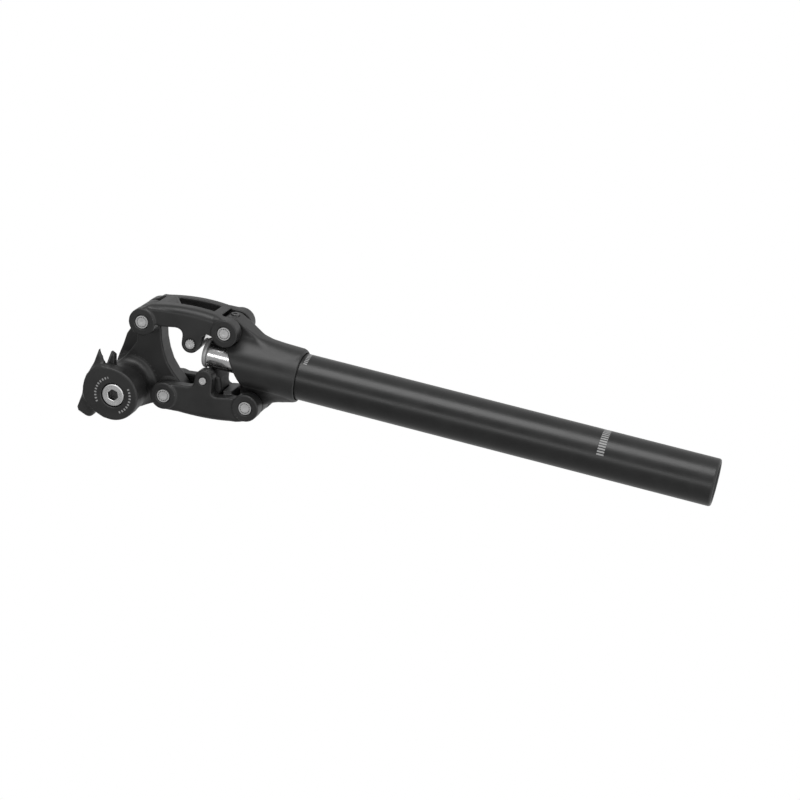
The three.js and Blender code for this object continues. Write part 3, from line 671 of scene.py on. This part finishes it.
def bolt_washer_and_nut():
    """The clamp bolt with its head on the right, the washer under that head, and the nut."""
    k = Block((-7.4, 7.6), (-30.2, 30.0), (-7.4, 7.6), 0.25)
    r, turn = np.hypot(k.x, k.z), np.arctan2(k.z, k.x)
    threaded_from, end_face = 6, -29.6
    shank = np.where(k.y > threaded_from, r - 3.9 + thread(k.y, turn, BOLT_PITCH, 0.28), r - 3.75)
    shank = both(both(shank, k.y - 29.3), r - 3.9 + np.maximum(k.y - 28.6, 0))
    top = both(both(r - 6.7, end_face - k.y, 0.7), k.y + 25.0, 0.2)
    body = either(shank, top, 0.3)
    body = both(body, end_face - k.y)
    body = less(body, both(hexagon(k.x, k.z, 6.0), k.y + 26.2), 0.15)
    skin("clamp_bolt_turned", k, body, M["bolt_silver"], BODY["clamp_bolt"], ["clamp_bolt"],
         at_axis(BOLT_AXIS), CLAMP_TILT)
    turned("bolt_washer_turned", sleeve(4.2, 6.7, -24.7, -23.7, 0.15, 0.25), M["zinc_steel"],
           BODY["bolt_washer"], ["bolt_washer"], "Y", at_axis(BOLT_AXIS), CLAMP_TILT)
    k = Block((-8.2, 8.4), (24.0, 29.9), (-8.2, 8.4), 0.2)
    r, turn = np.hypot(k.x, k.z), np.arctan2(k.z, k.x)
    from_middle = np.abs(k.y - 26.9)
    body = both(hexagon(k.x, k.z, 13), from_middle - 2.5, 0.1)
    body = both(body, r - 7.4 + 0.6 * np.maximum(from_middle - 1.9, 0), 0.1)
    hole = r - 4.2 - thread(k.y, turn, BOLT_PITCH, 0.1)
    body = less(body, np.minimum(hole, r - 4.8 + 29.4 - k.y), 0.1)
    skin("clamp_nut_pressed", k, body, M["zinc_steel"], BODY["clamp_nut"], ["clamp_nut"],
         at_axis(BOLT_AXIS), CLAMP_TILT)


def pin_piece(node_name, radius, half, centre, groove):
    """A pivot pin with, where there is room, a broken ring pressed into each end."""
    def ring(r, height, turn):
        """Fill the groove where one of its three breaks is."""
        solid = abs((turn / (2 * math.pi) * 3 + 0.2) % 1 - 0.5) > 0.44
        return math.copysign(half, height) if solid and r < radius - 0.45 else height

    end = [(radius, half - 0.3, 0.15), (radius - 0.2, half)]
    if groove:
        inner, outer = radius * 0.66, radius * 0.80
        end += [(outer + 0.06, half), (outer, half - 0.35), (inner, half - 0.35), (inner - 0.06, half)]
    end += [(0.9, half), (0.75, half - 0.12), (0, half - 0.12)]
    start = [(r, -h) + tuple(rest) for r, h, *rest in reversed(end)]
    profile = start + [(radius, -6.0), (radius - 0.12, -5.8), (radius - 0.12, 5.8), (radius, 6.0)] + end
    turned(node_name + "_ground", profile, M["pin_steel"], BODY[node_name], [node_name], "Y",
           at_axis(centre), segments=72, shaped=ring if groove else None)


def pins_and_bushes():
    """Axles, bushes, the roller on its pin, the bumper's pin, and the grub screw of the front axle."""
    for name, centre in PIVOTS.items():
        pin_piece(name + "_axle", AXLE_RADIUS, LINK_HALF - 0.2, centre, True)
        for side, sign in (("left", 1), ("right", -1)):
            low, high = sorted((sign * 8.5, sign * 14.8))
            cut_node = name + "_bush_" + side
            turned(cut_node + "_moulded", sleeve(4.2, 5.0, low, high, 0.25, 0.3), M["bush_polymer"],
                   BODY[cut_node], [cut_node], "Y", at_axis(centre), segments=48)
    pin_piece("roller_pin", ROLLER_PIN_RADIUS, LINK_HALF - PIN_INSET, ROLLER_AXIS, True)
    pin_piece("bumper_pin", BUMPER_PIN_RADIUS, LINK_HALF - PIN_INSET, BUMPER_AXIS, False)
    turned("roller_ground", [
        (4.1, -7.7, 0.2), (4.9, -7.7, 0.2), (5.2, -7.3, 0.3), (5.2, 7.3, 0.3), (4.9, 7.7, 0.2),
        (4.1, 7.7, 0.2),
    ], M["polished_steel"], BODY["roller"], ["roller"], "Y", at_axis(ROLLER_AXIS))
    turned("roller_bush_moulded", sleeve(3.25, 3.8, -7.7, 7.7, 0.15, 0.15), M["bush_polymer"],
           BODY["roller_bush"], ["roller_bush"], "Y", at_axis(ROLLER_AXIS))
    k = Block((22.7, 27.6), (-2.8, 2.9), (285.8, 291.5), 0.12)
    across = np.hypot(k.y, k.z - FRONT_LOWER[1])
    body = both(both(across - 2.4 + thread(k.x, 0, GRUB_PITCH, 0.12), 23.0 - k.x, 0.2), k.x - 27.2, 0.35)
    body = less(body, both(hexagon(k.y, k.z - FRONT_LOWER[1], 2.5), 25.2 - k.x))
    skin("axle_grub_screw_cut", k, body, M["grub_steel"], "post", ["axle_grub_screw"])


def spring_unit():
    """Everything on the post's own axis but the tube and the spring."""
    turned("piston_turned", [
        (5.0, 243.7, 0.3), (10.6, 243.7, 0.5), (10.6, 247.7, 0.5), (8.2, 247.7, 0.4), (8.2, 299.3, 0.4),
        (7.9, 299.8, 0.2), (5.0, 299.8, 0.3),
    ], M["polished_steel"], "piston", ["piston"], segments=144)
    turned("piston_cap_turned", [
        (0, 291.1), (4.2, 291.1, 0.3), (4.6, 291.6, 0.3), (4.6, 300.1), (8.5, 300.1, 0.2), (8.8, 300.5, 0.3),
        (8.8, 301.7, 0.5), (8.0, 302.45, 0.3), (6.4, 302.5, 0.2), (6.2, 302.36, 0.1), (1.3, 302.36, 0.2),
        (1.1, 302.0), (0, 301.6),
    ], M["cap_steel"], "piston", ["piston_cap"], segments=128)
    turned("guide_bush_moulded", [
        (8.5, 248.0, 0.5), (10.7, 248.0, 0.4), (10.7, 254.5), (10.45, 254.7), (10.45, 263.5), (10.7, 263.7),
        (10.7, 270.4, 0.4), (8.5, 270.4, 0.5),
    ], M["bush_polymer"], "post", ["guide_bush"])
    turned("wiper_seal_moulded", [
        (8.5, 270.8, 0.3), (10.7, 270.8, 0.3), (10.7, 272.0), (10.4, 272.2), (10.4, 272.7), (10.7, 272.9),
        (10.7, 274.2, 0.3), (9.9, 274.2, 0.2), (9.6, 273.2, 0.4), (8.9, 274.1, 0.2), (8.5, 273.6, 0.2),
        (8.8, 272.4, 0.3),
    ], M["seal_rubber"], "post", ["wiper_seal"])
    turned("spring_top_seat_moulded", [
        (0, 234.9), (5.2, 234.9, 0.5), (5.6, 236.2), (5.6, 239.4, 0.3), (10.6, 239.4, 0.4),
        (10.6, 243.4, 0.5), (3.0, 243.4), (2.6, 242.8), (0, 242.8),
    ], M["bush_polymer"], BODY["spring_top_seat"], ["spring_top_seat"])
    turned("spring_bottom_seat_moulded", [
        (0, 24.0), (10.8, 24.0, 0.5), (10.8, 29.7, 0.4), (5.6, 29.7, 0.3), (5.6, 33.0), (5.2, 34.2, 0.5),
        (0, 34.2),
    ], M["bush_polymer"], BODY["spring_bottom_seat"], ["spring_bottom_seat"])
    core = [(0, 34.5), (4.6, 34.5, 0.5), (5.0, 35.4)]
    for z in range(55, 200, 24):  # shallow grooves round the core
        core += [(5.0, z, 0.4), (4.6, z + 0.6, 0.4), (4.6, z + 2.4, 0.4), (5.0, z + 3, 0.4)]
    turned("elastomer_core_cast", core + [(5.0, 211.1), (4.6, 212, 0.5), (0, 212)], M["elastomer"],
           BODY["elastomer_core"], ["elastomer_core"], segments=64)
    k = Block((-11.8, 12.0), (-11.8, 12.0), (6.4, 24.3), 0.3)
    r, turn = np.hypot(k.x, k.y), np.arctan2(k.y, k.x)
    body = both(both(r - 11.1 + thread(k.z, turn, PLUG_PITCH, 0.35), 7.0 - k.z, 0.5), k.z - 23.7, 0.4)
    dish = both(r - 7.2, k.z - 7.8, 0.3)
    body = less(body, np.minimum(dish, both(hexagon(k.x, k.y, 6.0), k.z - 15.0)), 0.2)
    skin("preload_plug_threaded", k, body, M["plug_black"], BODY["preload_plug"], ["preload_plug"])


def coil(name, angle, z):
    """A run of round spring wire, cut flat at the spring's ends."""
    around = 14
    points, faces = [], []
    for a, height in zip(angle, z):
        for s in np.arange(around) * 2 * math.pi / around:
            out = SPRING_RADIUS + WIRE_RADIUS * math.cos(s)
            # The spring's two ends are ground flat.
            rise = min(max(height + WIRE_RADIUS * math.sin(s), SPRING_LOW), SPRING_HIGH)
            points.append((out * math.cos(a), out * math.sin(a), rise))
    for i in range(len(z) - 1):
        for j in range(around):
            n = (j + 1) % around
            faces.append((i * around + j, (i + 1) * around + j, (i + 1) * around + n, i * around + n))
    faces.append(tuple(range(around)))
    faces.append(tuple((len(z) - 1) * around + j for j in reversed(range(around))))
    made = piece(name, points, faces, M["spring_steel"], "post", ["main_spring"])
    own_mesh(made)


def spring_pieces():
    """A closed and ground coil spring, made as a lower and an upper run."""
    t = np.linspace(0, 1, 1101)
    turn = t * (SPRING_COILS + 2 * END_TURNS)
    # The closed turns at the ends lie wire against wire.
    closed = WIRE_RADIUS * 2.02
    pitch = (SPRING_HIGH - SPRING_LOW - 2 * WIRE_RADIUS - 2 * END_TURNS * closed) / SPRING_COILS
    rise = np.where(turn < END_TURNS, turn * closed, END_TURNS * closed + (turn - END_TURNS) * pitch)
    last = turn > SPRING_COILS + END_TURNS
    beyond = turn - SPRING_COILS - END_TURNS
    rise = np.where(last, END_TURNS * closed + SPRING_COILS * pitch + beyond * closed, rise)
    eased = np.convolve(np.pad(rise, 12, mode="edge"), np.ones(25) / 25, "valid")
    z = SPRING_LOW + WIRE_RADIUS + eased
    middle = float(np.interp(SPRING_SPLIT, t, z))
    for name, start, end, joint, length, travel in (
            ("main_spring_lower_coils", 0, SPRING_SPLIT, "preload_advance", middle - SPRING_LOW,
             PRELOAD_TRAVEL),
            ("main_spring_upper_coils", SPRING_SPLIT + 0.00003, 1, "piston_slide", SPRING_HIGH - middle,
             SLIDE_TRAVEL)):
        share = np.linspace(start, end, int(1100 * (end - start)))
        coil(name, np.interp(share, t, turn * 2 * math.pi), np.interp(share, t, z))



post_pieces()
yoke_piece()
spring_unit()
spring_pieces()
front_link_piece()
rear_link_piece()
bumper_piece()
pins_and_bushes()
head_piece()
for side, sign in (("right", -1), ("left", 1)):
    cradle_piece(side, sign)
    clamp_piece(side, sign)
bolt_washer_and_nut()

# ---------------------------------------------------------------- camera, light and floor

camera_data = bpy.data.cameras.new("camera")
camera_data.sensor_width = 36
camera_data.lens = 97.2
camera_data.clip_start, camera_data.clip_end = 0.05, 50
camera = bpy.data.objects.new("camera", camera_data)
COLLECTION.objects.link(camera)
right = Vector((0.167, 0.2702, -0.9482)).normalized()
back = Vector((0.3329, -0.9207, -0.2037)).normalized()
up = back.cross(right).normalized()
right = up.cross(back)
camera_place = Matrix.Translation(Vector((409.9, -1131.1, -66.0)) * MM)
camera.matrix_world = camera_place @ Matrix((right, up, back)).transposed().to_4x4()
bpy.context.scene.camera = camera
bpy.context.scene.view_settings.view_transform = "Standard"


def softbox(name, direction, distance, width, height, radiance):
    """A rectangular soft light that looks at the middle of the part."""
    middle = Vector((0, 0, 0.18))
    light = bpy.data.lights.new(name, "AREA")
    light.shape, light.size, light.size_y = "RECTANGLE", width, height
    light.energy = radiance * math.pi * width * height
    lamp = bpy.data.objects.new(name, light)
    toward = Vector(direction).normalized()
    facing = toward.to_track_quat("Z", "Y").to_matrix().to_4x4()
    lamp.matrix_world = Matrix.Translation(middle + toward * distance) @ facing
    COLLECTION.objects.link(lamp)


softbox("key_light", (0.908, -0.387, 0.161), 1.3, 0.7, 1.3, 4.0)
softbox("front_light", (0.05, -0.986, 0.161), 1.3, 0.28, 1.3, 2.6)

ROOM_RIGHT, ROOM_LEFT = 0.24, 0.7
world = bpy.data.worlds.new("studio")
bpy.context.scene.world = world
world.use_nodes = True
sky = world.node_tree
sky.nodes.clear()
seen = node(sky, "LightPath").outputs["Is Camera Ray"]
# The room is darker on the right of the part than on its left, and plain white to the camera.
leftward = places(sky, node(sky, "TexCoord").outputs["Generated"])[1]
room_light = spread(sky, leftward, ROOM_RIGHT, ROOM_LEFT, -1.0, 1.0)
strength = mixed(sky, seen, room_light, 1.0, "FLOAT")
backdrop = node(sky, "Background", Color=(1, 1, 1, 1), Strength=strength)
node(sky, "OutputWorld", Surface=backdrop.outputs[0])

floor_mesh = bpy.data.meshes.new("floor")
FLOOR_HALF, FLOOR_HEIGHT = 3, -0.4
corners = [(x * FLOOR_HALF, y * FLOOR_HALF, FLOOR_HEIGHT) for x, y in ((-1, -1), (1, -1), (1, 1), (-1, 1))]
floor_mesh.from_pydata(corners, [], [(0, 1, 2, 3)])
floor = bpy.data.objects.new("floor", floor_mesh)
COLLECTION.objects.link(floor)
floor_mesh.materials.append(finish("floor_pale", grey(0.78), grey(0.80), (0.7, 0.8), mottle=3, grain=40,
                                   Emission_Color=(1, 1, 1, 1), Emission_Strength=0.35))
